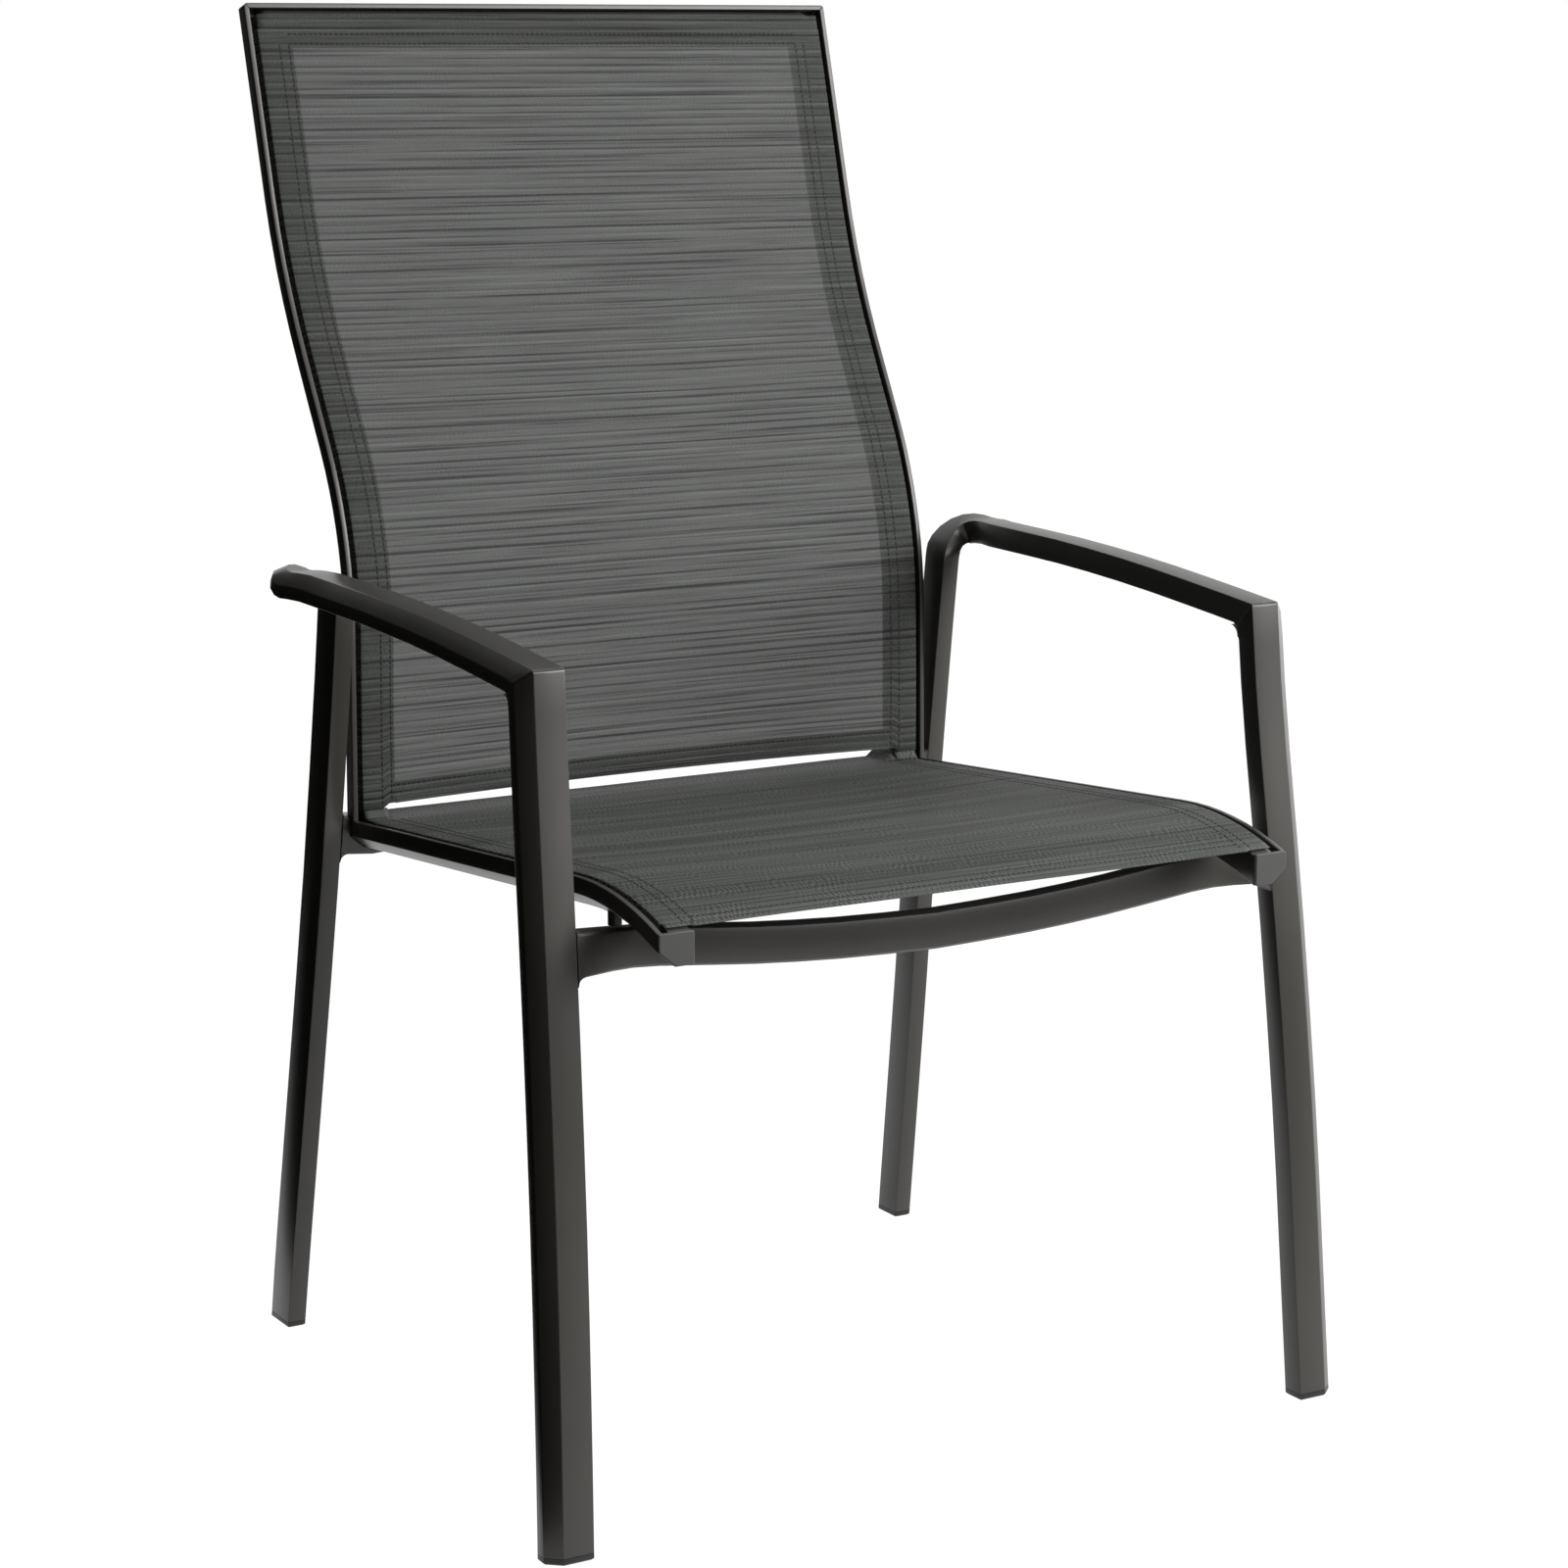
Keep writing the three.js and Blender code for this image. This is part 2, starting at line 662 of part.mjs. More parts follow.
// Height of the seat rails' top edge over a place along the chair
function seatHeightAt(y) {
  const i = seatPath.findIndex((stop) => stop.y < y);
  const [a, b] = [seatPath[i - 1], seatPath[i]];
  return THREE.MathUtils.mapLinear(y, a.y, b.y, a.z, b.z);
}

const frontBarY = pointWhere(frontLine, 'z', cornerHeight).y + (frontBarThin + tubeDepth) / 2;
const frontBarTop = seatHeightAt(frontBarY) - railDepth - frontBarClear;
const frontBarLevel = frontBarTop - barHeight / 2;
const frontBar = crossbar({
  line: frontLine, height: frontBarLevel, tall: barHeight, slim: 0, depth: tubeDepth, thin: frontBarThin,
  middleY: pointWhere(frontLine, 'z', frontBarLevel).y + frontBarThin, drop: frontBarDrop,
  shares: frontBarShares, taperShares: barTaperShares,
});
const rearBarLevel = cornerHeight + rearBarRise - rearBarHeight / 2;
const rearBar = cut(crossbar({
  line: rearLine, height: rearBarLevel, tall: rearBarHeight, slim: rearBarSlim, depth: rearBarDepth,
  thin: rearBarThin, middleY: cornerBack + rearBarShift, drop: rearBarDrop, shares: rearBarShares,
  taperShares: rearBarTaperShares,
}), backRailGrown, mirrored(backRailGrown), seatRailGrown, mirrored(seatRailGrown));

// A short post between the front crossbar and a seat rail
function railSpacer() {
  const reach = railDepth - railSide + frontBarClear;
  const post = new THREE.CylinderGeometry(spacerRadius, spacerRadius, reach, 20);
  post.rotateX(Math.PI / 2);
  post.translate(railHalf - spacerInset, frontBarY, frontBarTop + seatGap + reach / 2);
  return cut(post, seatRailGrown);
}

// A closed sheet of fabric from rows of points on its lower face; out points away from the rails
function sheet(rows) {
  const points = [];
  const faces = [];
  for (const { line } of rows) points.push(...line);
  const count = points.length;
  rows.forEach(({ line, out }) => {
    for (const p of line) points.push(p.clone().addScaledVector(out, slingThickness));
  });
  const wide = rows[0].line.length;
  const quad = (a, b, c, d) => faces.push([a, b, c], [a, c, d]);
  for (let i = 0; i + 1 < rows.length; i += 1) {
    for (let j = 0; j + 1 < wide; j += 1) {
      const a = i * wide + j;
      quad(a, a + wide, a + wide + 1, a + 1);
      quad(a + count, a + 1 + count, a + wide + 1 + count, a + wide + count);
    }
    const right = (i + 1) * wide - 1;
    quad(i * wide, i * wide + count, (i + 1) * wide + count, (i + 1) * wide);
    quad(right, right + wide, right + wide + count, right + count);
  }
  const end = (rows.length - 1) * wide;
  for (let j = 0; j + 1 < wide; j += 1) {
    quad(j, j + 1, j + 1 + count, j + count);
    quad(end + j, end + j + count, end + j + 1 + count, end + j + 1);
  }
  return closedGeometry(points, faces);
}

// One row of a sling from rail to rail: flat on both rails and slightly hollow between them
function slingRow(frame, sag, bow = 0) {
  const edge = frame.at.x - slingInset;
  const land = frame.at.x - railWidth;
  const columnShares = [-1, -2 / 3, -1 / 3, 0, 1 / 3, 2 / 3, 1];
  const columns = [-edge, ...columnShares.map((share) => share * land), edge];
  const line = columns.map((x) => {
    const hollow = Math.max(0, 1 - (x / land) ** 2);
    return vec(x, frame.at.y, frame.at.z).addScaledVector(frame.v, landDrop - seatGap + sag * hollow)
      .addScaledVector(frame.along, bow * hollow);
  });
  return { line, out: frame.v.clone().negate() };
}

// The strip that leaves a sling's edge, goes down through the mouth and turns round the rod
function hookOutline() {
  const wrap = rodRadius + seatGap + hookThickness / 2;
  const drop = slingInset + hookThickness / 2 + seatGap / 3;
  const level = landDrop - seatGap - slingThickness / 2;
  const start = Math.acos((drop - channelInset) / wrap);
  const wrapSteps = 5;
  const middle = [flat(drop + hookLap, level), flat(drop, level)];
  for (let i = 0; i <= wrapSteps; i += 1) {
    const turn = start - (start + Math.PI * 0.8) * i / wrapSteps;
    middle.push(flat(channelInset + wrap * Math.cos(turn), channelSink - wrap * Math.sin(turn)));
  }
  const offset = (way) => middle.map((p, i) => {
    const before = middle[Math.max(0, i - 1)];
    const after = middle[Math.min(middle.length - 1, i + 1)];
    const sides = [p.clone().sub(before), after.clone().sub(p)].filter((d) => d.length() > 0)
      .map((d) => flat(-d.y, d.x).normalize());
    const [first, next = first] = sides;
    const normal = first.clone().add(next).divideScalar(1 + first.dot(next));
    return p.clone().addScaledVector(normal, way * hookThickness / 2);
  });
  return [...offset(1), ...offset(-1).reverse()];
}

const hookStrip = (frames) => loft(frames.map((frame) => ({ ...frame, outline: hookOutline() })));

// A round rod in the channel behind the mouth
function rod(frames) {
  const outline = [];
  const sides = 8;
  for (let i = 0; i < sides; i += 1) {
    const turn = 2 * Math.PI * i / sides;
    outline.push(flat(channelInset + rodRadius * Math.cos(turn), channelSink + rodRadius * Math.sin(turn)));
  }
  return loft(frames.map((frame) => ({ ...frame, outline })));
}

const seatLength = seatPath.at(-1).run;
const backLength = backPath.at(-1).run;
const seatFrames = (from, to) => stretch(seatPath, from, to).map((stop) => railFrame(stop, side.seat));
const backFrames = (from, to) => stretch(backPath, from, to).map((stop) => railFrame(stop, side.back));
const topFrames = (short) => {
  const { at, along, v } = railFrame(backPath.at(-1), side.back);
  return [-1, 1].map((way) => ({ at: vec(way * (at.x - short), at.y, at.z), u: along.clone().negate(), v }));
};

// Takes the sling's rear corner away beside the foot of the back rail
function hemCutter() {
  const edge = railHalf - railWidth;
  const front = cornerBack - overrun * 2;
  const behind = cornerBack + hemOverhang * 2;
  const plan = [
    flat(edge, front), flat(railHalf, front), flat(railHalf, behind),
    flat(edge - hemCutLength - overrun, behind), flat(edge - hemCutLength, front + hemOverhang + overrun),
  ];
  const level = (z) => ({ at: vec(0, 0, z), u: across, v: back, outline: plan });
  return loft([level(cornerHeight - railDepth), level(cornerHeight + railDepth)]);
}

function seatSling() {
  const end = seatLength - seatFrontShort;
  const free = (run) => THREE.MathUtils.smoothstep(run, 0, seatSagReach);
  const rows = stretch(seatPath, 0, end).map((stop) => (
    slingRow(railFrame(stop, side.seat), seatSag * free(stop.run) * free(end - stop.run))
  ));
  const hem = railFrame(seatPath[0], side.seat);
  hem.at.addScaledVector(hem.along, -hemOverhang).addScaledVector(hem.v, -hemLift);
  const panel = sheet([slingRow(hem, 0), ...rows]);
  const hook = hookStrip(seatFrames(cornerShort, end - overrun));
  const cutter = hemCutter();
  return cut(joined(panel, hook, mirrored(hook)), cutter, mirrored(cutter));
}

function backSling() {
  const stops = stretch(backPath, backHemRise, backLength - slingInset);
  const panel = sheet(stops.map((stop) => {
    const free = THREE.MathUtils.smoothstep(backLength - railWidth - stop.run, 0, backSagReach);
    return slingRow(railFrame(stop, side.back), backSag * free, backHemBow * (1 - stop.run / backLength));
  }));
  const hook = hookStrip(backFrames(backHemRise + overrun, backLength - cornerShort - channelInset));
  return joined(panel, hook, mirrored(hook), hookStrip(topFrames(cornerShort + channelInset)));
}

const finish = (color, roughness, metalness) => new THREE.MeshStandardMaterial({
  color, roughness, metalness, flatShading: true,
});
const paint = () => finish(0x45443f, 0.38, 0.6);
const fabric = () => finish(0x4b4e4c, 0.9, 0);
const capPlastic = () => finish(0x63655f, 0.6, 0);
const rodPlastic = () => finish(0x2a2a2a, 0.6, 0);
const glidePlastic = () => finish(0x161616, 0.55, 0);

const chair = new THREE.Group();
function add(name, geometry, material) {
  const mesh = new THREE.Mesh(geometry, material());
  mesh.name = name;
  chair.add(mesh);
}
function addPair(name, geometry, material) {
  add(`${name}_left`, geometry, material);
  add(`${name}_right`, mirrored(geometry), material);
}

addPair('front_leg', frontLeg(), paint);
addPair('arm_tube', armTube(), paint);
addPair('seat_rail', loft(seatRailStations(railStation)), paint);
addPair('back_rail', cut(loft(backRailStations(railStation)), topCornerCutter()), paint);
add('top_rail', topRail(), paint);
add('front_crossbar', frontBar, paint);
add('rear_crossbar', rearBar, paint);
addPair('rail_spacer', railSpacer(), paint);
addPair('rail_cap', railCap(), capPlastic);
add('seat_sling', seatSling(), fabric);
add('back_sling', backSling(), fabric);
addPair('seat_rod', rod(seatFrames(rodShort, seatLength - rodShort / 2)), rodPlastic);
addPair('back_rod', rod(backFrames(rodShort, backLength - cornerShort - channelInset)), rodPlastic);
add('top_rod', rod(topFrames(cornerShort + channelInset)), rodPlastic);
addPair('glide_front', glide(frontLine, across, back), glidePlastic);
addPair('glide_rear', glide(rearLine, back, across, 1), glidePlastic);

// The origin lies under the middle of the chair's box
const box = new THREE.Box3().setFromObject(chair);
chair.position.y = -(box.min.y + box.max.y) / 2;

export default chair;
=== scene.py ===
"""A sling patio armchair: painted aluminium tubes and two woven slings with sewn hems, in a pale studio."""

import json
import math

import bmesh
import bpy
from mathutils import Matrix, Vector, noise


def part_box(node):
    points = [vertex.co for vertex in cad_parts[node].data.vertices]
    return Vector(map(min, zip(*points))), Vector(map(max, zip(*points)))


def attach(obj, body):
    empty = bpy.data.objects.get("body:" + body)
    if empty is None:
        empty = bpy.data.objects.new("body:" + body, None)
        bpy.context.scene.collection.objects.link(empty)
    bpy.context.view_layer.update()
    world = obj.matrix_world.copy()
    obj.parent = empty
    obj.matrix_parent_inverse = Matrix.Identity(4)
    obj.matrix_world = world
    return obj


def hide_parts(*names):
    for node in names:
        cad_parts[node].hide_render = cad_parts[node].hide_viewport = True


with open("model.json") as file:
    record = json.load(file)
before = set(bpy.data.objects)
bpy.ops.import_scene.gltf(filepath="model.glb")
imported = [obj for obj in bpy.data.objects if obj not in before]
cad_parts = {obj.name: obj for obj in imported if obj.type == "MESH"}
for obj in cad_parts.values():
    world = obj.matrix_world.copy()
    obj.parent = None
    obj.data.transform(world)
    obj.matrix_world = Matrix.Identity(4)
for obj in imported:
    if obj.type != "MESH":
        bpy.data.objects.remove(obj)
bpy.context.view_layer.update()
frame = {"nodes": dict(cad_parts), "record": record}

MM = 0.001

# Rails that carry the slings, in the frame's own sizes
RAIL_WIDTH = 28 * MM
CORNER_HEIGHT = 432 * MM
FRONT_TO_CORNER = 496 * MM
SEAT_SLOPE = 4.32
SEAT_ROLL_RADIUS = 296 * MM
SEAT_ROLL_TURN = 24.2
BACK_STRAIGHT = 135 * MM
LUMBAR_RADIUS = 313 * MM
LUMBAR_TURN = 29.7
SHOULDER_RISE = 74 * MM
SHOULDER_RADIUS = 562 * MM
SHOULDER_TURN = 13.9
BACK_WAIST = 3 * MM
BACK_FLARE = 2.2 * MM
CHAIR_HEIGHT = 1061.5 * MM
WAIST_HEIGHT_SHARE = 0.41
WAIST_REACH_SHARE = 0.37

# Round channel in a rail, and the rod in it, from the rail's outer side and its lip
ROD_INSET = 7 * MM
ROD_SINK = 9 * MM

# Cloth
CLOTH = 0.55 * MM
LAYER = 0.62 * MM
HEM_END = 36.5 * MM
OUTER_STRAND = 8.55 * MM
INNER_STRAND = 9.2 * MM
FOLD_RADIUS = 0.8 * MM
WRAP_RADIUS = 3.0 * MM
NECK_DEPTH = 2.2 * MM
RIPPLE = 0.5 * MM
RIPPLES_PER_METRE = 9
ROW_STEP = 6 * MM
LAND_COLUMNS = 5
PANEL_COLUMNS = 56

# Sewing thread
STITCH_ROWS = (25.5 * MM, 33.5 * MM)
STITCH_PITCH = 4.4 * MM
STITCH_LENGTH = 3.5 * MM
STITCH_RADIUS = 0.8 * MM
STITCH_FLATNESS = 0.5
STITCH_DIP = 0.2 * MM
STITCH_TAPER = 0.45
SEAM_STEP = 60 * MM
SEAM_FROM_EDGE = 3 * MM

# The photograph's viewpoint, with y counted from the seat rails' front ends
EYE = Vector((-1451.07, -2186.21, 1035.97)) * MM
EYE_YAW = 30.466
EYE_PITCH = 11.146
LENS = 87.23
SENSOR = 36
SIDE_SHIFT = -0.0003


def deselect():
    bpy.ops.object.select_all(action="DESELECT")


# The way along a rail in its side view

def bent_line(start, heading, moves, step=4 * MM):
    """Stops (y, z, heading, run) along straights and bends. A move is its length and its turn in degrees."""
    y, z = start
    heading, run = math.radians(heading), 0
    stops = [(y, z, heading, run)]
    for length, turn in moves:
        count = max(1, round(length / step))
        part, swing = length / count, math.radians(turn) / count
        for _ in range(count):
            way = heading + swing / 2
            chord = part * (math.sin(swing / 2) / (swing / 2) if swing else 1)
            y, z = y + chord * math.cos(way), z + chord * math.sin(way)
            heading, run = heading + swing, run + part
            stops.append((y, z, heading, run))
    return stops


def stop_at(line, run):
    """The stop at a run, carried straight on past either end."""
    if run <= 0 or run >= line[-1][3]:
        y, z, heading, last = line[0] if run <= 0 else line[-1]
        return y + (run - last) * math.cos(heading), z + (run - last) * math.sin(heading), heading
    i = next(k for k, stop in enumerate(line) if stop[3] > run)
    a, b = line[i - 1], line[i]
    t = (run - a[3]) / (b[3] - a[3])
    return tuple(a[k] + t * (b[k] - a[k]) for k in range(3))


seat_rail_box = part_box("seat_rail_left")
front_y = seat_rail_box[0].y
rail_half = seat_rail_box[1].x
corner = (front_y + FRONT_TO_CORNER, CORNER_HEIGHT)
nose = math.radians(SEAT_ROLL_TURN - SEAT_SLOPE)
slope = math.radians(SEAT_SLOPE)
seat_straight = (FRONT_TO_CORNER - SEAT_ROLL_RADIUS * (math.sin(nose) + math.sin(slope))) / math.cos(slope)
seat_line = bent_line(corner, 180 - SEAT_SLOPE, [
    (seat_straight, 0), (SEAT_ROLL_RADIUS * math.radians(SEAT_ROLL_TURN), SEAT_ROLL_TURN),
])
back_bends = [
    (BACK_STRAIGHT, 0), (LUMBAR_RADIUS * math.radians(LUMBAR_TURN), -LUMBAR_TURN),
    (SHOULDER_RISE, 0), (SHOULDER_RADIUS * math.radians(SHOULDER_TURN), SHOULDER_TURN),
]
bent = bent_line(corner, 90, back_bends)[-1]
back_line = bent_line(corner, 90, [*back_bends, ((CHAIR_HEIGHT - bent[1]) / math.sin(bent[2]), 0)])
seat_length, back_length = seat_line[-1][3], back_line[-1][3]


def back_half(z):
    """Outer face of the back rails at a height: the back is slightly waisted."""
    share = max(0, (z - CORNER_HEIGHT) / (CHAIR_HEIGHT - CORNER_HEIGHT))
    off = min(1, abs(share - WAIST_HEIGHT_SHARE) / WAIST_REACH_SHARE)
    return rail_half - BACK_WAIST * math.cos(off * math.pi / 2) ** 2 + BACK_FLARE * share


def smooth(value, low, high):
    t = min(1, max(0, (value - low) / (high - low)))
    return t * t * (3 - 2 * t)


class Surface:
    """A sling's stretched surface. A place on it is x, its run along the rails and its depth below them."""

    def __init__(self, line, way, half, sag, bow, seed, raised=lambda x, run: 0):
        self.line, self.way, self.half, self.sag, self.bow, self.seed = line, way, half, sag, bow, seed
        self.raised = raised

    def place(self, x, run, depth, curled=False):
        land = self.half(run) - RAIL_WIDTH
        hollow = max(0, 1 - (x / land) ** 2)
        waves = Vector((x * RIPPLES_PER_METRE, run * RIPPLES_PER_METRE, self.seed))
        ripple = noise.noise(waves) * RIPPLE * min(1, hollow * 3)
        sunk = depth + self.sag(run) * hollow + ripple - (0 if curled else self.raised(x, run))
        run = run + self.bow(x, run)
        if curled and run < TAB_START:
            turn = min((TAB_START - run) / TAB_RADIUS, TAB_TURN)
            rest = TAB_START - run - turn * TAB_RADIUS
            run = TAB_START - TAB_RADIUS * math.sin(turn) - rest * math.cos(turn) + sunk * math.sin(turn)
            sunk = sunk * math.cos(turn) - TAB_RADIUS * (1 - math.cos(turn)) - rest * math.sin(turn)
        y, z, heading = stop_at(self.line, run)
        return Vector((x, y - self.way * math.sin(heading) * sunk, z + self.way * math.cos(heading) * sunk))


def fold(centre, radius, start, end, steps):
    """Points of a small arc in a section, its angles in degrees from inward towards deep."""
    angles = [math.radians(start + (end - start) * i / steps) for i in range(steps + 1)]
    return [(centre[0] + radius * math.cos(a), centre[1] + radius * math.sin(a)) for a in angles]


def tangent_angle(point, way):
    """Where a straight strand from a point meets the cloth's turn round the rod."""
    dx, dy = point[0] - ROD_INSET, point[1] - ROD_SINK
    return math.degrees(math.atan2(dy, dx) + way * math.acos(WRAP_RADIUS / math.hypot(dx, dy)))


def loop_section():
    """The hem's section from the panel outward: down the rail's mouth, round the rod and back under."""
    left = tangent_angle((OUTER_STRAND, NECK_DEPTH), -1)
    right = tangent_angle((INNER_STRAND, NECK_DEPTH), 1)
    points = fold((OUTER_STRAND + FOLD_RADIUS, FOLD_RADIUS), FOLD_RADIUS, 270, 180, 4)
    points.append((OUTER_STRAND, NECK_DEPTH))
    points += fold((ROD_INSET, ROD_SINK), WRAP_RADIUS, left + 360, right, 14)
    points.append((INNER_STRAND, NECK_DEPTH))
    points += fold((INNER_STRAND + FOLD_RADIUS, LAYER + FOLD_RADIUS), FOLD_RADIUS, 180, 270, 4)
    inward = points[-1][0]
    steps = 5
    points += [(inward + (HEM_END - inward) * i / steps, LAYER) for i in range(1, steps + 1)]
    return points


def fold_section(width):
    """A plain hem's section: over the edge and back under the panel."""
    points = fold((LAYER / 2, LAYER / 2), LAYER / 2, 270, 90, 6)
    steps = 4
    points += [(LAYER / 2 + width * i / steps, LAYER) for i in range(1, steps + 1)]
    return points


def with_lengths(points):
    """The points with how far the unrolled cloth has gone at each."""
    gone, before, rows = 0, points[0], []
    for point in points:
        gone += math.dist(point, before)
        before = point
        rows.append((*point, gone))
    return rows


def grid_cloth(name, surface, columns, rows, kept, tabs=False):
    """A cloth woven from columns (a, b, depth, flat b) and rows (run, depth, flat run), its UV in metres."""
    mesh = bpy.data.meshes.new(name)
    cloth = bpy.data.objects.new(name, mesh)
    bpy.context.scene.collection.objects.link(cloth)
    work = bmesh.new()
    unrolled = work.loops.layers.uv.new("UVMap")
    corners, area = {}, 0

    def corner_at(i, j, tab):
        a, b, sink, _ = columns[i]
        run, drop, _ = rows[j]
        tab = tab and run < TAB_START
        if (i, j, tab) not in corners:
            x = a * surface.half(max(0, run) if tab else run) + b
            corners[i, j, tab] = work.verts.new(surface.place(x, run, sink + drop, tab))
        return corners[i, j, tab]

    def unrolled_at(i, j):
        a, _, _, b = columns[i]
        run, _, along = rows[j]
        return a * surface.half(run) + b, along

    for i in range(len(columns) - 1):
        for j in range(len(rows) - 1):
            if not kept(i, j):
                continue
            ring = [(i, j), (i + 1, j), (i + 1, j + 1), (i, j + 1)]
            face = work.faces.new([corner_at(*c, tabs and kept(i, j) == "tab") for c in ring])
            flat = [unrolled_at(*c) for c in ring]
            for loop, uv in zip(face.loops, flat):
                loop[unrolled].uv = uv
            area += abs(sum(p[0] * q[1] - p[1] * q[0] for p, q in zip(flat, flat[1:] + flat[:1]))) / 2
    work.to_mesh(mesh)
    work.free()
    mesh.shade_smooth()
    return cloth, area


def thicken(piece, thickness):
    deselect()
    piece.select_set(True)
    bpy.context.view_layer.objects.active = piece
    wall = piece.modifiers.new("wall", "SOLIDIFY")
    wall.thickness, wall.offset, wall.use_even_offset = thickness, 0, True
    bpy.ops.object.modifier_apply(modifier=wall.name)
    bpy.ops.object.mode_set(mode="EDIT")
    bpy.ops.mesh.select_all(action="SELECT")
    bpy.ops.mesh.normals_make_consistent(inside=False)
    bpy.ops.object.mode_set(mode="OBJECT")


def sling_columns(land_end):
    """Columns from the left hem's inner end, round its rod, over the panel and to the right hem's end."""
    flap = with_lengths(loop_section())
    flat_from = flap[0][0]
    land = [flat_from + (land_end - flat_from) * i / LAND_COLUMNS for i in range(1, LAND_COLUMNS + 1)]
    inner = land[-1]
    half = [(1, -x, sink, gone - flat_from) for x, sink, gone in reversed(flap)]
    half += [(1, -x, 0, -x) for x in land]
    shares = [1 - 2 * i / PANEL_COLUMNS for i in range(1, PANEL_COLUMNS)]
    shares = [(share + math.sin(share * math.pi / 2)) / 2 for share in shares]
    middle = [(share, -share * inner, 0, -share * inner) for share in shares]
    other = [(-a, -b, sink, -flat) for a, b, sink, flat in reversed(half)]
    groups = ["flap"] * (len(flap) - 1) + ["land"] * len(land)
    groups = groups + ["middle"] * PANEL_COLUMNS + groups[::-1]
    return half + middle + other, groups


def end_rows(edge, section, way):
    """Rows of an end hem. Its section is drawn from the edge inward; way is 1 where the run grows inward."""
    return [(edge + way * (p[0] - section[0][0]), p[1], edge - way * p[2]) for p in with_lengths(section)]


def stitch_bead():
    """One stitch, lying along X on the surface Z = 0: a short thread, sunk at both ends."""
    deselect()
    size = {"radius": STITCH_RADIUS, "depth": STITCH_LENGTH}
    bpy.ops.mesh.primitive_cylinder_add(vertices=6, end_fill_type="TRIFAN", **size)
    bead = bpy.context.active_object
    bpy.ops.object.mode_set(mode="EDIT")
    bpy.ops.mesh.select_all(action="SELECT")
    bpy.ops.transform.rotate(value=math.pi / 2, orient_axis="Y", center_override=(0, 0, 0))
    bpy.ops.mesh.bisect(plane_co=(0, 0, 0), plane_no=(1, 0, 0))
    bpy.ops.object.mode_set(mode="OBJECT")
    for vertex in bead.data.vertices:
        away = abs(vertex.co.x) / (STITCH_LENGTH / 2)
        vertex.co.z = vertex.co.z * STITCH_FLATNESS - STITCH_DIP * away ** 2
        vertex.co.y *= 1 - STITCH_TAPER * away
    return bead


def sew(name, surface, seams):
    """Rows of stitches along seams of (x, run) points, on both faces of the doubled hem."""
    bead = stitch_bead()
    work = bmesh.new()
    for seam in seams:
        for (x0, run0), (x1, run1) in zip(seam, seam[1:]):
            a, b = surface.place(x0, run0, 0), surface.place(x1, run1, 0)
            count = max(1, round((b - a).length / STITCH_PITCH))
            for i in range(count):
                t = (i + 0.5) / count
                x, run = x0 + (x1 - x0) * t, run0 + (run1 - run0) * t
                for depth in (-CLOTH / 2, LAYER + CLOTH / 2):
                    at = surface.place(x, run, depth)
                    along = (b - a).normalized()
                    out = (surface.place(x, run, depth - MM) - at).normalized() * (1 if depth < 0 else -1)
                    side = out.cross(along).normalized()
                    turn = Matrix((along, side, out)).transposed().to_4x4()
                    piece = bead.data.copy()
                    piece.transform(Matrix.Translation(at) @ turn)
                    work.from_mesh(piece)
                    bpy.data.meshes.remove(piece)
    bpy.data.objects.remove(bead)
    mesh = bpy.data.meshes.new(name)
    work.to_mesh(mesh)
    work.free()
    mesh.shade_smooth()
    thread = bpy.data.objects.new(name, mesh)
    bpy.context.scene.collection.objects.link(thread)
    return thread


# Seat sling

SEAT_SAG = 4 * MM
SEAT_REAR_TAUT = (-10 * MM, 120 * MM)
SEAT_FRONT_TAUT = (10 * MM, 130 * MM)
SEAT_FRONT_SHORT = 5.5 * MM
SEAT_FRONT_HEM = 14 * MM
SEAT_OVERHANG = 29 * MM
SEAT_REAR_HEM = 22 * MM
SEAT_REAR_LIFT = 2.4 * MM
SEAT_LIFT_START = 10 * MM
SEAT_REAR_CLEAR = 1.5 * MM
SEAT_REAR_CLEAR_RUN = 10 * MM
SEAT_CUT_INSET = 29.5 * MM
SEAT_CORNER_RISE = 7 * MM
SEAT_CORNER_WIDTH = 9 * MM
SEAT_CORNER_START = 6 * MM
SEAT_SEAM_START = 14 * MM
SEAT_SEAM_FRONT_GAP = 4 * MM
SEAT_FRONT_SEAM = 10 * MM
TAB_START = 6.5 * MM
TAB_RADIUS = 4.5 * MM
TAB_TURN = math.radians(65)
TAB_END = -4.2 * MM
TAB_ROW_STEP = 1.2 * MM
REAR_ROW_STEP = 4 * MM


def seat_sag(run):
    return SEAT_SAG * smooth(run, *SEAT_REAR_TAUT) * smooth(seat_length - run, *SEAT_FRONT_TAUT)


def seat_lift(run):
    """The free rear hem lies slightly above the rails' line."""
    return SEAT_REAR_LIFT * smooth(-run, -SEAT_LIFT_START, SEAT_OVERHANG)


def seat_half(run):
    """The rails' outer face. Behind the corner the sling keeps clear of the back rails."""
    return rail_half - SEAT_REAR_CLEAR * smooth(-run, 0, SEAT_REAR_CLEAR_RUN)


def seat_raised(x, run):
    """One end of the free rear hem is turned up where the cloth is cut."""
    cut = seat_half(run) - SEAT_CUT_INSET
    turned = smooth(x, cut - SEAT_CORNER_WIDTH, cut) * smooth(-run, -SEAT_CORNER_START, SEAT_CORNER_START)
    return SEAT_CORNER_RISE * turned


def spaced(low, high, step):
    count = max(1, round((high - low) / step))
    return [low + (high - low) * i / count for i in range(count + 1)]


def seam_across(half):
    return spaced(-half + STITCH_ROWS[1], half - STITCH_ROWS[1], SEAM_STEP)


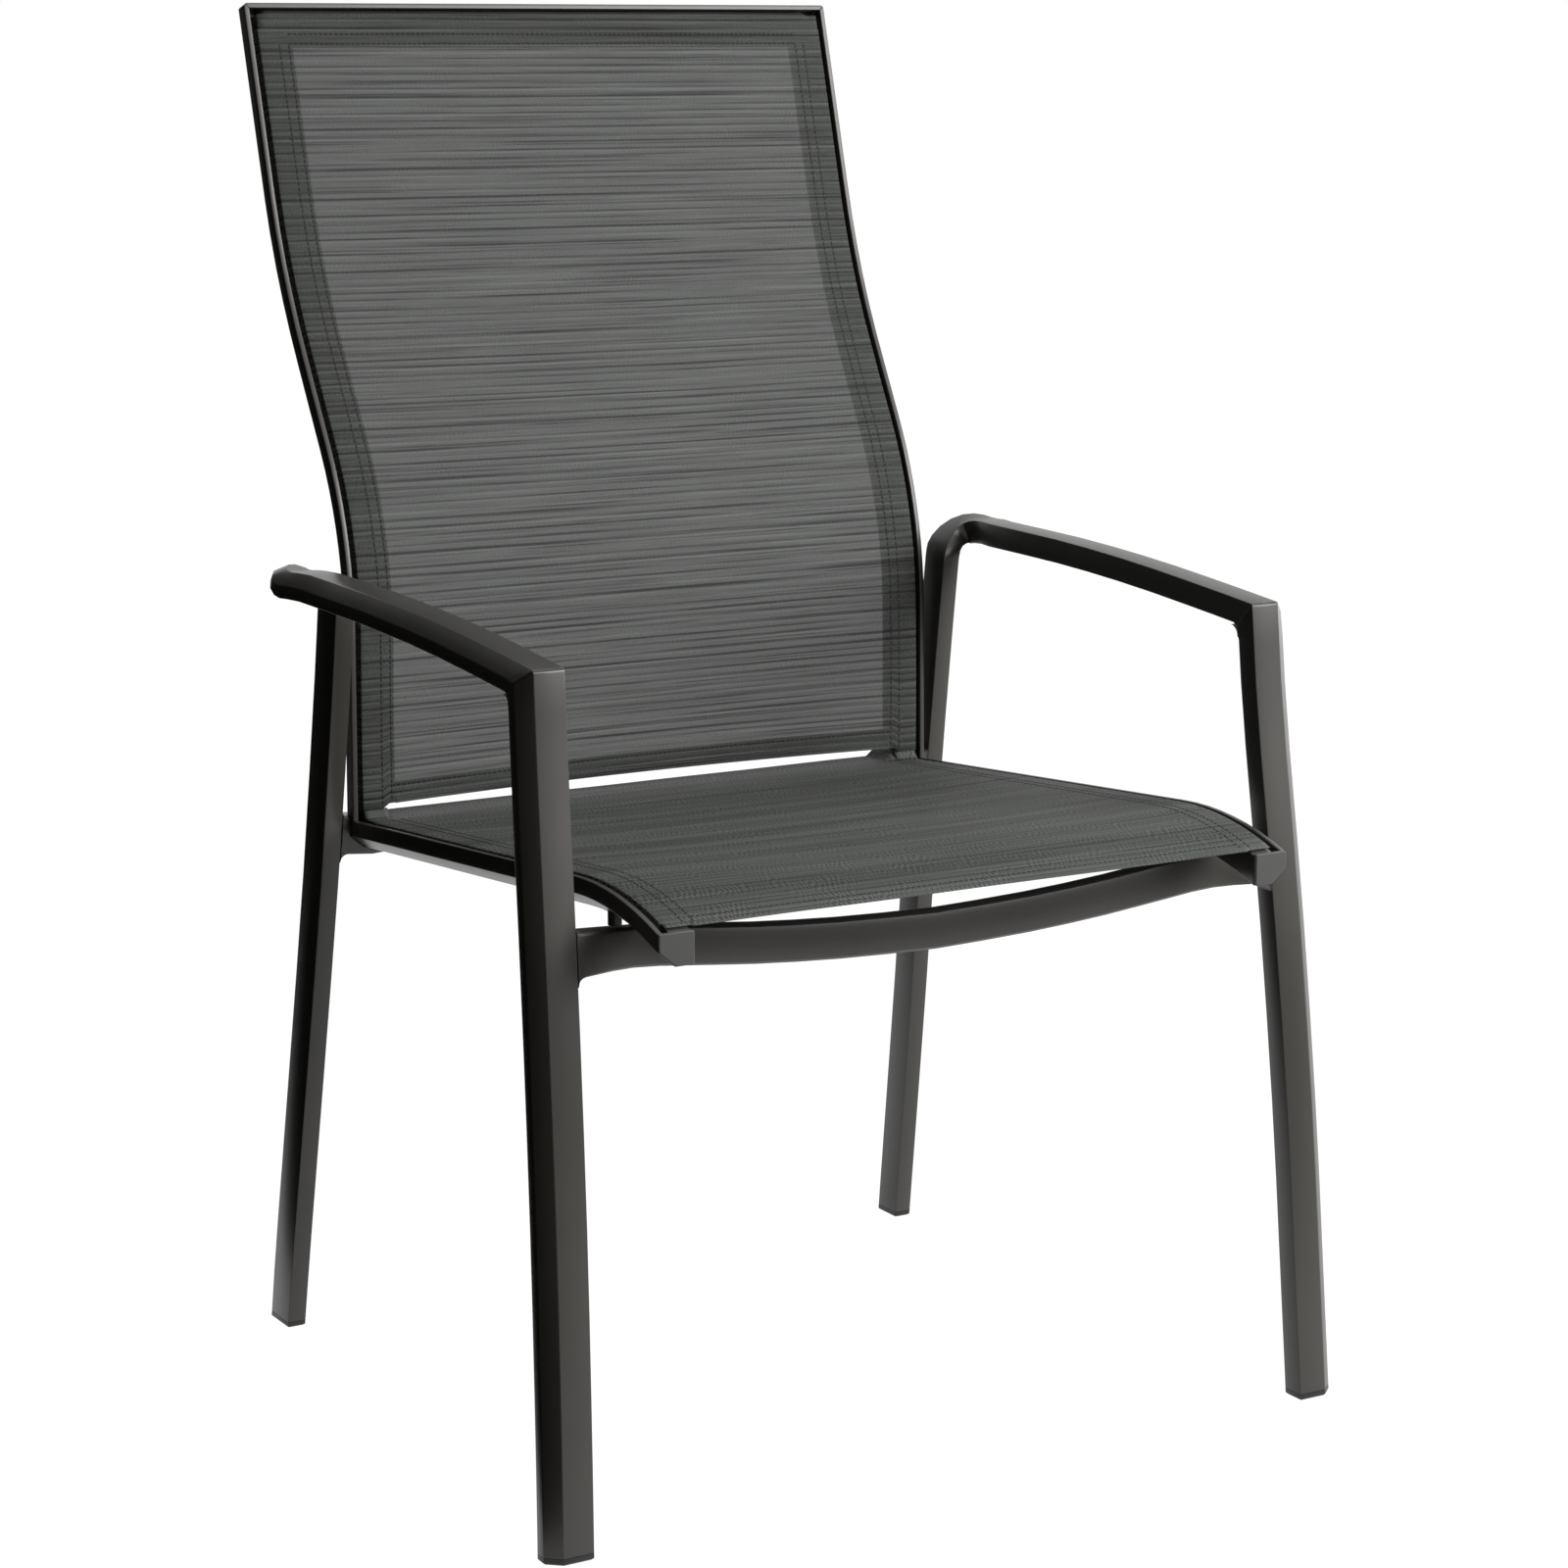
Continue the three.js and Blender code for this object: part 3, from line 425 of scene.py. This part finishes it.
def make_seat():
    surface = Surface(seat_line, 1, seat_half, seat_sag, lambda x, run: 0, seed=1.7, raised=seat_raised)
    columns, groups = sling_columns(SEAT_CUT_INSET)
    edge = seat_length - SEAT_FRONT_SHORT
    front = end_rows(edge, fold_section(SEAT_FRONT_HEM), -1)
    rear = end_rows(-SEAT_OVERHANG, fold_section(SEAT_REAR_HEM), 1)
    behind = spaced(-SEAT_OVERHANG, TAB_END, REAR_ROW_STEP)[1:-1] + spaced(TAB_END, TAB_START, TAB_ROW_STEP)
    runs = behind + spaced(TAB_START, edge, ROW_STEP)[1:-1]
    rows = [(run, drop - seat_lift(run), flat) for run, drop, flat in rear[::-1]]
    rows += [(run, -seat_lift(run), run) for run in runs] + front
    first_tab = next(j for j in range(len(rear), len(rows)) if rows[j][0] >= TAB_END)
    last_main = len(rear) + len(runs)
    first_loop = len(rear) + len(behind) + 1

    def kept(i, j):
        if groups[i] == "middle":
            return True
        if groups[i] == "land":
            return first_tab <= j < last_main and "tab"
        return first_loop <= j < last_main - 1

    cloth, area = grid_cloth("seat_sling_cloth", surface, columns, rows, kept, tabs=True)
    thicken(cloth, CLOTH)
    width = 2 * (rail_half + columns[0][3])
    length = rows[-1][2] - rows[0][2]
    side_runs = spaced(SEAT_SEAM_START, edge - SEAT_SEAM_FRONT_GAP, SEAM_STEP)
    seams = [[(way * (rail_half - inset), run) for run in side_runs]
             for way in (1, -1) for inset in STITCH_ROWS]
    seams.append([(x, edge - SEAT_FRONT_SEAM) for x in seam_across(rail_half)])
    thread = sew("seat_stitching", surface, seams)
    return cloth, thread, (width, length), area


# Back sling

BACK_SAG = 3 * MM
BACK_SAG_RUN = 260 * MM
BACK_HEM_RISE = 7.8 * MM
BACK_HEM_STEP = 3.6 * MM
BACK_HEM_BOW = 3 * MM
BACK_BOW_RUN = 120 * MM
BACK_STEP_INSETS = (31 * MM, 28 * MM)
BACK_TOP_LOOP_INSET = 20 * MM
BACK_BOTTOM_HEM = 17 * MM


def back_sag(run):
    return BACK_SAG * smooth(back_length - RAIL_WIDTH - run, 0, BACK_SAG_RUN)


def back_bow(x, run):
    """The bottom edge is drawn up between the hems at the rails."""
    hollow = max(0, 1 - (x / (rail_half - RAIL_WIDTH)) ** 2)
    step = BACK_HEM_STEP * (1 - smooth(abs(x), *[rail_half - inset for inset in BACK_STEP_INSETS]))
    return (step + BACK_HEM_BOW * hollow) * (1 - smooth(run, 0, BACK_BOW_RUN))


def back_half_at(run):
    return back_half(stop_at(back_line, run)[1])


def make_back():
    surface = Surface(back_line, -1, back_half_at, back_sag, back_bow, seed=5.3)
    columns, groups = sling_columns(HEM_END)
    bottom = end_rows(BACK_HEM_RISE, fold_section(BACK_BOTTOM_HEM), 1)
    top_loop = with_lengths(loop_section())
    top_start = back_length - top_loop[0][0]
    top = [(back_length - x, sink, top_start + gone) for x, sink, gone in top_loop]
    runs = spaced(BACK_HEM_RISE, top_start, ROW_STEP)[1:-1]
    rows = bottom[::-1] + [(run, 0, run) for run in runs] + top
    first_main, last_main = len(bottom) - 1, len(bottom) + len(runs)

    def kept(i, j):
        group = groups[i]
        main = first_main <= j < last_main
        if group == "middle":
            return True
        if group == "land":
            return main or (j >= last_main and abs(columns[i][1]) > BACK_TOP_LOOP_INSET)
        return main and j < last_main - 2

    cloth, area = grid_cloth("back_sling_cloth", surface, columns, rows, kept)
    thicken(cloth, CLOTH)
    width = 2 * (back_half(CHAIR_HEIGHT) + columns[0][3])
    length = rows[-1][2] - rows[0][2]
    side_runs = spaced(BACK_HEM_RISE + SEAM_FROM_EDGE, back_length - STITCH_ROWS[1], SEAM_STEP)
    seams = [[(way * (back_half_at(run) - inset), run) for run in side_runs]
             for way in (1, -1) for inset in STITCH_ROWS]
    for inset in STITCH_ROWS:
        seams.append([(x, back_length - inset) for x in seam_across(back_half(CHAIR_HEIGHT))])
    bottom_seam = BACK_HEM_RISE + BACK_BOTTOM_HEM - SEAM_FROM_EDGE
    seams.append([(x, bottom_seam) for x in seam_across(rail_half)])
    thread = sew("back_stitching", surface, seams)
    return cloth, thread, (width, length), area


# Finishes, with brightnesses from 0 to 255 and noise scales per metre

PAINT_LEVELS = (61, 67)
PAINT_WARMTH = 0.08
PAINT_IOR = 1.52
PAINT_GRAIN = 1600
PAINT_GRAIN_HEIGHT = 0.04 * MM
EDGE_RADIUS = 0.9 * MM
PLASTIC_GRAIN = 900
PLASTIC_GRAIN_HEIGHT = 0.05 * MM
WEFT_REPEAT = 6.4 * MM
WEFT_DRIFT = 8 * MM
WEFT_WANDER = 1.2 * MM
WEFT_BUMP = 0.25 * MM
PALE_WEFT_SHIFT = 1.73 * MM
SECOND_WEFT_SHARE = 1.37
SECOND_WEFT_DRIFT = 6 * MM
DOT_REPEAT = 4.0 * MM
DOT_ROWS = 11 * MM
DOT_JITTER = 4.5 * MM
DOT_ROW_JITTER = 20 * MM
THREAD_REPEAT = 1.2 * MM
YARN_TINTS = ((0.01, 0.075), (0.0, 0.08))
SEWING_THREAD_LEVELS = (8, 22)


class Signal:
    """A number that varies over a surface. Arithmetic on it adds Math nodes to its finish."""

    def __init__(self, finish, socket):
        self.finish, self.socket = finish, socket

    def math(self, operation, *others):
        values = dict(enumerate((self, *others)))
        return self.finish.add("Math", values, operation=operation)

    def __add__(self, other):
        return self.math("ADD", other)

    __radd__ = __add__

    def __sub__(self, other):
        return self.math("SUBTRACT", other)

    def __rsub__(self, other):
        return self.finish.add("Math", {0: other, 1: self}, operation="SUBTRACT")

    def __mul__(self, other):
        return self.math("MULTIPLY", other)

    __rmul__ = __mul__

    def sin(self):
        return self.math("SINE")


class Finish:
    """A material whose nodes are written as expressions."""

    def __init__(self, name, **constants):
        self.material = bpy.data.materials.new(name)
        self.material.use_nodes = True
        self.nodes, self.links = self.material.node_tree.nodes, self.material.node_tree.links
        self.surface = next(n for n in self.nodes if n.type == "BSDF_PRINCIPLED")
        for key, value in constants.items():
            self.surface.inputs[key.replace("_", " ").title().replace("Ior", "IOR")].default_value = value

    def add(self, kind, values, output=0, **settings):
        node = self.nodes.new("ShaderNode" + kind)
        for key, value in settings.items():
            setattr(node, key, value)
        for key, value in values.items():
            self.feed(node.inputs[key], value)
        return Signal(self, node.outputs[output])

    def feed(self, socket, value):
        if isinstance(value, Signal):
            self.links.new(value.socket, socket)
        else:
            socket.default_value = value

    def place(self, kind):
        return self.add("TexCoord", {}, output=kind)

    def parts(self, vector):
        return [self.add("SeparateXYZ", {0: vector}, output=k) for k in range(3)]

    def point(self, x, y, z=0):
        return self.add("CombineXYZ", {0: x, 1: y, 2: z})

    def noise(self, vector, scale, detail):
        return self.add("TexNoise", {"Vector": vector, "Scale": scale, "Detail": detail})

    def spread(self, value, low, high):
        return self.add("MapRange", {"Value": value, "From Min": low, "From Max": high})

    def mix(self, factor, first, second):
        return self.add("Mix", {0: factor, 6: first, 7: second}, output=2, data_type="RGBA")

    def bump(self, height, distance, strength=1.0, **base):
        normal = self.add("Bump", {"Height": height, "Distance": distance, "Strength": strength, **base})
        self.feed(self.surface.inputs["Normal"], normal)

    def shade(self, socket, value):
        self.feed(self.surface.inputs[socket], value)


def grey(level, warmth=0.0, green=0.0):
    """A nearly neutral colour from its brightness on screen, tinted by small shares."""
    linear = (level / 255) ** 2.2
    return (linear * (1 + warmth - green), linear, linear * (1 - 1.6 * warmth - green), 1)


def frame_paint():
    """Powder coat: a dark warm grey with a fine orange-peel grain."""
    paint = Finish("frame_paint", metallic=0.0, ior=PAINT_IOR)
    place = paint.place("Object")
    cloud = paint.noise(place, 7, detail=2)
    grain = paint.noise(place, PAINT_GRAIN, detail=1)
    colours = [grey(level, PAINT_WARMTH) for level in PAINT_LEVELS]
    paint.shade("Base Color", paint.mix(paint.spread(cloud, 0.35, 0.65), *colours))
    paint.shade("Roughness", 0.3 + 0.08 * cloud)
    edges = paint.add("Bevel", {"Radius": EDGE_RADIUS}, samples=6)
    paint.bump(grain, PAINT_GRAIN_HEIGHT, 0.5, Normal=edges)
    return paint.material


def plastic(name, level, warmth, roughness):
    resin = Finish(name)
    place = resin.place("Object")
    cloud = resin.noise(place, 30, detail=3)
    resin.shade("Base Color", resin.mix(cloud, grey(level - 4, warmth), grey(level + 4, warmth)))
    resin.shade("Roughness", roughness + 0.1 * (cloud - 0.5))
    resin.bump(resin.noise(place, PLASTIC_GRAIN, detail=1), PLASTIC_GRAIN_HEIGHT, 0.6)
    return resin.material


def woven(name, level, openness, stripe, banding, flecks):
    """Woven mesh: dark weft yarns that fade in and out, with paler yarns beside them, flecks and pinholes."""
    cloth = Finish(name, roughness=0.75)
    across, along, _ = cloth.parts(cloth.place("UV"))

    def patches(wide, fine, detail, shift=0):
        """Noise with its scales per metre across and along the cloth."""
        return cloth.noise(cloth.point(across * wide, along * fine + shift), 1, detail)

    def wave(place, repeat):
        return (place * (2 * math.pi / repeat)).sin()

    drift = patches(0, 60, 2)
    weft = along + WEFT_DRIFT * drift + WEFT_WANDER * patches(5, 22, 1)
    second = along * SECOND_WEFT_SHARE + SECOND_WEFT_DRIFT * drift
    dark = cloth.spread(wave(weft, WEFT_REPEAT), 0.2, 1) * cloth.spread(patches(4, 150, 3), 0.38, 0.6)
    fainter = cloth.spread(wave(second, WEFT_REPEAT), 0.3, 1)
    fainter = fainter * cloth.spread(patches(6, 210, 2, 5), 0.45, 0.62)
    dark = dark.math("MAXIMUM", 0.75 * fainter)
    beside = wave(weft + PALE_WEFT_SHIFT, WEFT_REPEAT)
    pale = cloth.spread(beside, 0.2, 1) * cloth.spread(patches(5, 190, 2, 7), 0.4, 0.62)
    jitter = patches(70, 45, 1)
    dots = wave(across + DOT_JITTER * jitter, DOT_REPEAT) * wave(along + DOT_ROW_JITTER * jitter, DOT_ROWS)
    dots = dots * cloth.spread(patches(22, 50, 1), 0.35, 0.65)
    band = cloth.spread(patches(1.4, 32, 2), 0.38, 0.62)
    streak = patches(12, 560, 2)
    tone = 1 + stripe * (0.7 * pale - 0.9 * dark + 1.3 * (streak - 0.5)) + banding * (band - 0.5)
    tone = tone + flecks * dots
    cloud = cloth.spread(patches(9, 14, 1), 0.35, 0.65)
    yarn = cloth.mix(cloud, *[grey(level, *tint) for tint in YARN_TINTS])
    cloth.shade("Base Color", cloth.add("VectorMath", {0: yarn, "Scale": tone}, operation="SCALE"))
    threads = wave(across, THREAD_REPEAT) * wave(along, THREAD_REPEAT)
    cloth.bump(threads * 0.25 + 0.5 - 0.4 * dark, WEFT_BUMP, 0.8)
    cloth.shade("Alpha", 1 - math.sqrt(openness) * (1 - 0.45 * dark))
    return cloth.material


def thread_finish():
    thread = Finish("sewing_thread", roughness=0.7)
    place = thread.place("Object")
    twist = thread.noise(place, 900, detail=1)
    thread.shade("Base Color", thread.mix(twist, *[grey(level) for level in SEWING_THREAD_LEVELS]))
    return thread.material


def paint_piece(piece, material):
    piece.data.materials.clear()
    piece.data.materials.append(material)


def dress_frame():
    finishes = {
        "frame_paint": frame_paint(),
        "cap_plastic": plastic("cap_plastic", 83, 0.01, 0.55),
        "rod_plastic": plastic("rod_plastic", 30, 0.0, 0.5),
        "glide_plastic": plastic("glide_plastic", 22, 0.0, 0.45),
    }
    for part in frame["record"]["subparts"]:
        slot = part["material_slot"]
        if slot in finishes:
            node = frame["nodes"][part["node"]]
            for place in node.material_slots:
                place.material = finishes[slot]
            soften(node)


CORNER_ANGLE = 28
MERGE_DISTANCE = 0.01 * MM


def soften(node):
    """Rounds the shading of curved faces and keeps real corners crisp."""
    weld = node.modifiers.new("weld", "WELD")
    weld.merge_threshold = MERGE_DISTANCE
    split = node.modifiers.new("corners", "EDGE_SPLIT")
    split.split_angle = math.radians(CORNER_ANGLE)
    node.data.shade_smooth()


def dress_slings():
    seat, seat_thread, seat_flat, seat_area = make_seat()
    back, back_thread, back_flat, back_area = make_back()
    paint_piece(seat, woven("seat_weave", 87, openness=0.004, stripe=0.9, banding=0.6, flecks=0.85))
    paint_piece(back, woven("back_weave", 80, openness=0.06, stripe=1.2, banding=0.06, flecks=0.15))
    thread = thread_finish()
    for piece in (seat_thread, back_thread):
        paint_piece(piece, thread)
    for piece in (seat, seat_thread, back, back_thread):
        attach(piece, "root")
    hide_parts("seat_sling")
    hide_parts("back_sling")
    print("seat cut", [round(x, 4) for x in seat_flat], "area", round(seat_area, 4))
    print("back cut", [round(x, 4) for x in back_flat], "area", round(back_area, 4))


# Studio, in metres and watts

def softbox(name, at, aim, size, power, seen=True):
    light = bpy.data.lights.new(name, "AREA")
    light.shape, light.size, light.size_y, light.energy = "RECTANGLE", *size, power
    lamp = bpy.data.objects.new(name, light)
    bpy.context.scene.collection.objects.link(lamp)
    lamp.location = at
    lamp.rotation_euler = (Vector(aim) - Vector(at)).to_track_quat("-Z", "Y").to_euler()
    lamp.visible_camera = seen


def stage_plane(name, size, at, turn):
    deselect()
    bpy.ops.mesh.primitive_plane_add(size=1, location=at, rotation=turn)
    plane = bpy.context.active_object
    plane.name, plane.scale = name, (*size, 1)
    return plane


def seen_directly(nodes, links):
    """1 for what the camera, a reflection or clear cloth looks at, 0 for light that falls on the object."""
    path = nodes.new("ShaderNodeLightPath")
    total = path.outputs["Is Camera Ray"]
    for kind in ("Is Glossy Ray", "Is Transmission Ray"):
        larger = nodes.new("ShaderNodeMath")
        larger.operation = "MAXIMUM"
        links.new(total, larger.inputs[0])
        links.new(path.outputs[kind], larger.inputs[1])
        total = larger.outputs[0]
    return total


def floor_finish():
    """Pale floor that looks white and still takes the shadow."""
    material = bpy.data.materials.new("floor")
    material.use_nodes = True
    nodes, links = material.node_tree.nodes, material.node_tree.links
    nodes.clear()
    matte, glow = nodes.new("ShaderNodeBsdfDiffuse"), nodes.new("ShaderNodeEmission")
    matte.inputs["Color"].default_value = (*[FLOOR_PALE] * 3, 1)
    glow.inputs["Strength"].default_value = FLOOR_GLOW
    share = nodes.new("ShaderNodeMath")
    share.operation = "MULTIPLY"
    links.new(seen_directly(nodes, links), share.inputs[0])
    share.inputs[1].default_value = FLOOR_GLOW_SHARE
    mixed, out = nodes.new("ShaderNodeMixShader"), nodes.new("ShaderNodeOutputMaterial")
    links.new(share.outputs[0], mixed.inputs["Fac"])
    links.new(matte.outputs[0], mixed.inputs[1])
    links.new(glow.outputs[0], mixed.inputs[2])
    links.new(mixed.outputs[0], out.inputs["Surface"])
    return material


def sky():
    world = bpy.data.worlds.new("studio")
    bpy.context.scene.world = world
    world.use_nodes = True
    nodes, links = world.node_tree.nodes, world.node_tree.links
    level = nodes.new("ShaderNodeMapRange")
    level.inputs["To Min"].default_value, level.inputs["To Max"].default_value = SKY_LIGHT, 1
    links.new(seen_directly(nodes, links), level.inputs["Value"])
    links.new(level.outputs[0], nodes["Background"].inputs["Strength"])
    nodes["Background"].inputs["Color"].default_value = (1, 1, 1, 1)


FLOOR_PALE = 0.4
FLOOR_GLOW = 1.46
FLOOR_GLOW_SHARE = 0.7
SKY_LIGHT = 0.11
FLAG_CLOTH = (0.03, 0.03, 0.026, 1)
LAMPS = {
    "key": {"at": (2.2, -2.65, 2.1), "aim": (0, 0, 0.5), "size": (2, 2), "power": 138},
    "side": {"at": (3.2, 0.9, 1.2), "aim": (0, 0, 0.6), "size": (2, 2), "power": 22},
    "behind": {"at": (0.1, 3.4, 1.1), "aim": (0, 0.2, 0.7), "size": (1.6, 1.2), "power": 5, "seen": False},
}
QUARTER = math.pi / 2
FLAGS = {
    "flag": {"size": (1.9, 4.4), "at": (-0.95, 0.3, 0.95), "turn": (0, QUARTER, 0)},
    "flag_foot": {"size": (0.55, 4.4), "at": (-0.675, 0.3, 0.001), "turn": (0, 0, 0)},
    "flag_rear": {"size": (2.6, 2.4), "at": (-1.5, 1.9, 1.2), "turn": (QUARTER, 0, 0)},
    "flag_front": {"size": (2.4, 1.1), "at": (0.7, -1.85, 0.001), "turn": (0, 0, 0)},
    "flag_far": {"size": (3.4, 0.38), "at": (1.4, -2.6, 0.19), "turn": (QUARTER, 0, 0)},
}


def studio():
    """A white floor and sky, three soft lamps, and black flags that keep the floor's light off the sides."""
    floor = stage_plane("floor", (60, 60), (0, 0, 0), (0, 0, 0))
    paint_piece(floor, floor_finish())
    sky()
    for name, lamp in LAMPS.items():
        softbox(name, **lamp)
    black = Finish("flag_cloth", roughness=1.0)
    black.surface.inputs["Base Color"].default_value = FLAG_CLOTH
    black.surface.inputs["Specular IOR Level"].default_value = 0
    for name, place in FLAGS.items():
        flag = stage_plane(name, **place)
        paint_piece(flag, black.material)
        flag.visible_camera = flag.visible_shadow = False


def camera():
    data = bpy.data.cameras.new("camera")
    data.lens, data.sensor_width, data.shift_x = LENS, SENSOR, SIDE_SHIFT
    eye = bpy.data.objects.new("camera", data)
    bpy.context.scene.collection.objects.link(eye)
    eye.location = EYE + Vector((0, front_y, 0))
    eye.rotation_euler = (math.radians(90 - EYE_PITCH), 0, -math.radians(EYE_YAW))
    bpy.context.scene.camera = eye


camera()
studio()
dress_frame()
dress_slings()
bpy.context.scene.view_settings.view_transform = "Standard"
